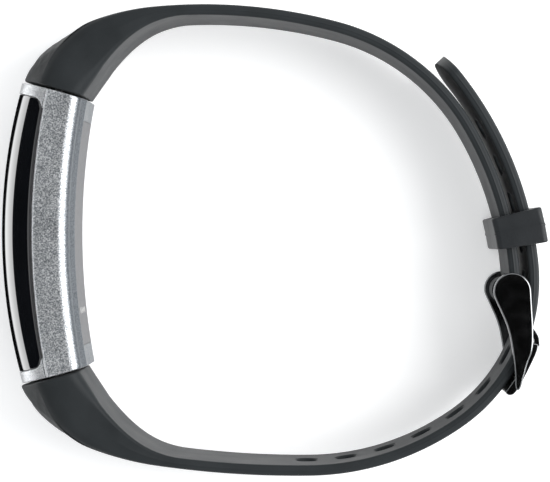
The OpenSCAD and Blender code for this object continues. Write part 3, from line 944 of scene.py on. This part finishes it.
def black_glass():
    """Smooth black glass with a clear coat and very faint smudges."""
    s = Shader("glass_black_look")
    smudge = s.noise(90, 3.0)
    s.color(s.ramp(smudge, (0.3, (0.0025, 0.003, 0.004)), (0.7, (0.004, 0.0045, 0.006))))
    s.rough(smudge, 0.025, 0.06)
    s.bump(s.noise(45, 1.0), 0.00001, 0.3)
    return s.set(IOR=1.5, Coat_Weight=1.0, Coat_Roughness=0.02).material


def silicone(name, dark, light, rough):
    """Matt moulded silicone with a fine grain and faint blotches."""
    s = Shader(name)
    blotch = s.noise(160, 3.0)
    grain = s.noise(2600, 2.0, 0.6)
    s.color(s.ramp(blotch, (0.3, dark), (0.7, light)))
    s.rough(blotch, rough - 0.04, rough + 0.05)
    s.bump(grain, 0.00003, 0.6)
    s.bump(s.noise(420, 2.0), 0.00004, 0.35)
    return s.set(Specular_IOR_Level=0.23, Sheen_Weight=0.04, Sheen_Roughness=0.5).material


def black_nickel():
    """Polished black metal with fine scratches."""
    s = Shader("buckle_black_look")
    wear = s.noise(700, 4.0, 0.6)
    brushed = s.noise(900, 3.0, 0.5, (1, 6, 1))
    s.color(s.ramp(wear, (0.35, (0.20, 0.205, 0.21)), (0.65, (0.26, 0.265, 0.27))))
    s.rough(wear, 0.07, 0.14)
    s.bump(brushed, 0.000004, 0.4)
    return s.set(Metallic=1.0).material


def metal(name, dark, light, rough, scale=900, stretch=(1, 1, 1)):
    """Metal whose tone wanders a little between dark and light."""
    s = Shader(name)
    grain = s.noise(scale, 3.0, 0.55, stretch)
    s.color(s.ramp(grain, (0.35, dark), (0.65, light)))
    s.rough(grain, rough - 0.05, rough + 0.08)
    s.bump(grain, 0.00001, 0.4)
    return s.set(Metallic=1.0).material


def plastic(name, dark, light, rough, scale=1400, coat=0.0):
    """Plastic whose tone wanders a little between dark and light."""
    s = Shader(name)
    grain = s.noise(scale, 3.0, 0.6)
    s.color(s.ramp(grain, (0.35, dark), (0.65, light)))
    s.rough(grain, rough - 0.05, rough + 0.08)
    s.bump(grain, 0.00002, 0.5)
    return s.set(Coat_Weight=coat).material


def circuit_board():
    """Green solder mask over faint copper areas."""
    s = Shader("board_green_look")
    tracks = s.cells(900)
    s.color(s.ramp(tracks, (0.1, (0.004, 0.05, 0.02)), (0.3, (0.008, 0.09, 0.035)),
                   (0.6, (0.02, 0.14, 0.05))))
    s.rough(s.noise(1200), 0.25, 0.4)
    s.bump(tracks, 0.00002, 0.5)
    return s.set(Coat_Weight=0.4).material


def give_look(look, *nodes):
    """Gives a look to CAD nodes that keep their CAD shape."""
    for node in nodes:
        mesh = frame["nodes"][node].data
        mesh.materials.clear()
        mesh.materials.append(look)


give_look(plastic("seal_rubber_look", (0.010, 0.010, 0.011), (0.02, 0.02, 0.022), 0.6),
          "glass_gasket", "rear_seal")
give_look(plastic("display_black_look", (0.004, 0.005, 0.012), (0.007, 0.008, 0.018), 0.12, 300, 1.0),
          "display_panel")
give_look(plastic("inner_plastic_look", (0.03, 0.03, 0.034), (0.05, 0.05, 0.055), 0.5),
          "display_carrier", "inner_chassis")
give_look(plastic("flex_amber_look", (0.42, 0.16, 0.02), (0.60, 0.26, 0.04), 0.3, 800, 0.4),
          "display_flex")
give_look(circuit_board(), "main_board")
give_look(metal("shield_tin_look", (0.50, 0.50, 0.49), (0.66, 0.66, 0.64), 0.32), "board_shield")
give_look(plastic("chip_black_look", (0.010, 0.010, 0.011), (0.025, 0.025, 0.027), 0.45), "board_chips")
give_look(metal("cell_foil_look", (0.52, 0.55, 0.60), (0.70, 0.73, 0.78), 0.3, 200), "battery")
give_look(metal("contact_nickel_look", (0.44, 0.43, 0.41), (0.60, 0.59, 0.56), 0.26),
          "antenna", "charging_contacts")
give_look(metal("motor_metal_look", (0.42, 0.42, 0.43), (0.58, 0.58, 0.59), 0.3), "motor_case")
give_look(metal("weight_metal_look", (0.20, 0.20, 0.21), (0.32, 0.32, 0.33), 0.4), "motor_rotor")
give_look(plastic("cover_plastic_look", (0.075, 0.075, 0.080), (0.105, 0.105, 0.110), 0.5),
          "rear_cover")
give_look(metal("screw_steel_look", (0.40, 0.40, 0.41), (0.58, 0.58, 0.59), 0.28),
          "strap_screws", "upper_strap_insert", "lower_strap_insert")
give_look(metal("bar_steel_look", (0.55, 0.56, 0.57), (0.74, 0.75, 0.76), 0.2, 1200, (1, 1, 5)),
          "bar_tube", "bar_tip_top", "bar_tip_base", "bar_spring")

STRAP_LOOK = silicone("strap_silicone_look", (0.009, 0.0115, 0.013), (0.014, 0.017, 0.019), 0.56)
KEEPER_LOOK = silicone("keeper_silicone_look", (0.008, 0.0095, 0.011), (0.012, 0.014, 0.016), 0.42)
BUCKLE_LOOK = black_nickel()

case_frame(silver_paint())
front_glass(black_glass())
upper_strap(STRAP_LOOK)
lower_strap(STRAP_LOOK)
keeper(KEEPER_LOOK)
buckle_frame(BUCKLE_LOOK)
buckle_tongue(BUCKLE_LOOK)


# ------------------------------------------------------------------ studio
# The glass mirrors a strip of light and black cards that stand outside the picture.
def panel(name, centre, size, facing, material):
    """A flat stage panel of a size, in millimetres, that faces a direction."""
    mesh = bpy.data.meshes.new(name)
    x, y = size[0] / 2 * MM, size[1] / 2 * MM
    mesh.from_pydata([(-x, -y, 0), (x, -y, 0), (x, y, 0), (-x, y, 0)], [], [(0, 1, 2, 3)])
    mesh.materials.append(material)
    obj = bpy.data.objects.new(name, mesh)
    bpy.context.scene.collection.objects.link(obj)
    obj.location = (np.array(centre) + SHIFT) * MM
    obj.rotation_mode = "QUATERNION"
    obj.rotation_quaternion = Vector(facing).to_track_quat("Z", "Y")
    return obj


def dark_card(name, centre, size, facing, material):
    """A black card that is seen only in reflections."""
    card = panel(name, centre, size, facing, material)
    card.visible_camera = False
    card.visible_diffuse = False
    card.visible_shadow = False
    card.visible_transmission = False


floor_look = Shader("floor_look")
floor_look.color(floor_look.ramp(floor_look.noise(30, 2.0), (0.3, (0.86, 0.86, 0.86)),
                                 (0.7, (0.90, 0.90, 0.90))))
floor_look.set(Roughness=0.7, Emission_Color=(1.0, 1.0, 1.0, 1.0), Emission_Strength=0.3)
panel("floor", (0, 0, -HALF_W), (3000, 3000), (0, 0, 1), floor_look.material)

card_look = Shader("card_look")
card_look.color(card_look.ramp(card_look.noise(50), (0.3, (0.004, 0.004, 0.004)),
                               (0.7, (0.006, 0.006, 0.006))))
card_look.set(Roughness=1.0, Specular_IOR_Level=0.0)
dark_card("left_card", (-78, 0, 5.5), (420, 31), (1, 0, 0), card_look.material)
dark_card("floor_card", (-49, 0, 0.1 - HALF_W), (8, 90), (0, 0, 1), card_look.material)
dark_card("top_card", (-10, 0, 420), (330, 330), (0, 0, -1), card_look.material)


def softbox(name, place, target, size, power):
    """A rectangular area light, in millimetres in the loop's frame."""
    data = bpy.data.lights.new(name, "AREA")
    data.shape = "RECTANGLE"
    data.size, data.size_y = size[0] * MM, size[1] * MM
    data.energy = power
    obj = bpy.data.objects.new(name, data)
    bpy.context.scene.collection.objects.link(obj)
    obj.location = (np.array(place) + SHIFT) * MM
    way = Vector(target) - Vector(place)
    obj.rotation_mode = "QUATERNION"
    obj.rotation_quaternion = way.to_track_quat("-Z", "Y")
    obj.visible_camera = False


softbox("right_box", (330, 40, 260), (0, 0, 0), (260, 420), 2.4)
softbox("left_strip", (-65, 0, 0.3 - HALF_W), (-65, 0, 100), (22, 68), 0.0062)

world = bpy.data.worlds.new("studio")
bpy.context.scene.world = world
world.use_nodes = True
world.node_tree.nodes["Background"].inputs["Color"].default_value = (0.97, 0.985, 1.0, 1)
world.node_tree.nodes["Background"].inputs["Strength"].default_value = 0.95

CAMERA_H = 352.0
# How far the lens looks beside its own axis, as shares of the picture's width.
LENS_SHIFT = (-1 / 22, -4 / 275)
camera_data = bpy.data.cameras.new("camera")
camera_data.lens = 159.4
camera_data.sensor_width = 36.0
camera_data.sensor_fit = "HORIZONTAL"
camera_data.shift_x, camera_data.shift_y = LENS_SHIFT
camera_data.clip_start = 0.01
camera = bpy.data.objects.new("camera", camera_data)
camera.location = (np.array([0.0, 0.0, CAMERA_H]) + SHIFT) * MM
bpy.context.scene.collection.objects.link(camera)
bpy.context.scene.camera = camera
bpy.context.scene.view_settings.view_transform = "Standard"
